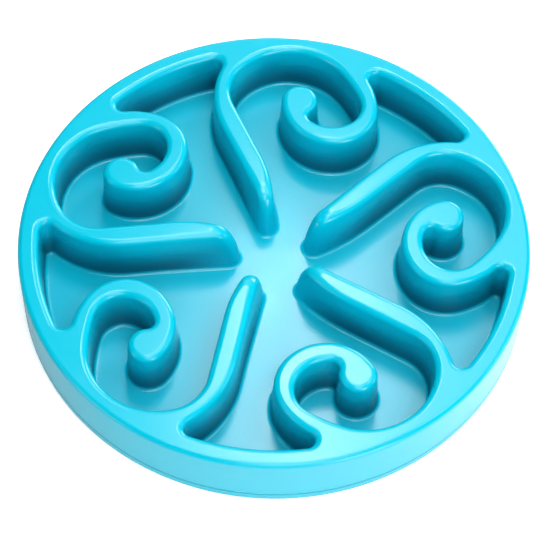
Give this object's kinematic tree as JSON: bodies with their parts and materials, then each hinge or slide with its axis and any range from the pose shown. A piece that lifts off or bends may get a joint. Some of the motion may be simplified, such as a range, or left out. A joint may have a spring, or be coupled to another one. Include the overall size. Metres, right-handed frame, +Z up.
{
  "type": "slow feeder bowl",
  "caption": "Shallow round pet bowl whose winding channel runs between scroll-shaped ridges to slow eating, closed below by a clipped-in base plate on push-in rubber feet.",
  "frame": {"origin": "centre of the circle that the feet stand on, on the surface below the bowl", "axes": "+Z up along the bowl's axis, out of the open side; +X to the picture's right, through one of the five keys inside the skirt; the picture looks along +Y and down"},
  "size_m": [0.296, 0.296, 0.04],
  "materials": {
    "shell_plastic": "moulded turquoise plastic, soft gloss",
    "plate_plastic": "moulded turquoise plastic, satin below",
    "foot_rubber": "matt pale grey-blue rubber"
  },
  "bodies": {
    "root": {"maze_shell": "shell_plastic", "base_plate": "plate_plastic", "foot_1": "foot_rubber", "foot_2": "foot_rubber", "foot_3": "foot_rubber", "foot_4": "foot_rubber", "foot_5": "foot_rubber"}
  },
  "joints": []
}
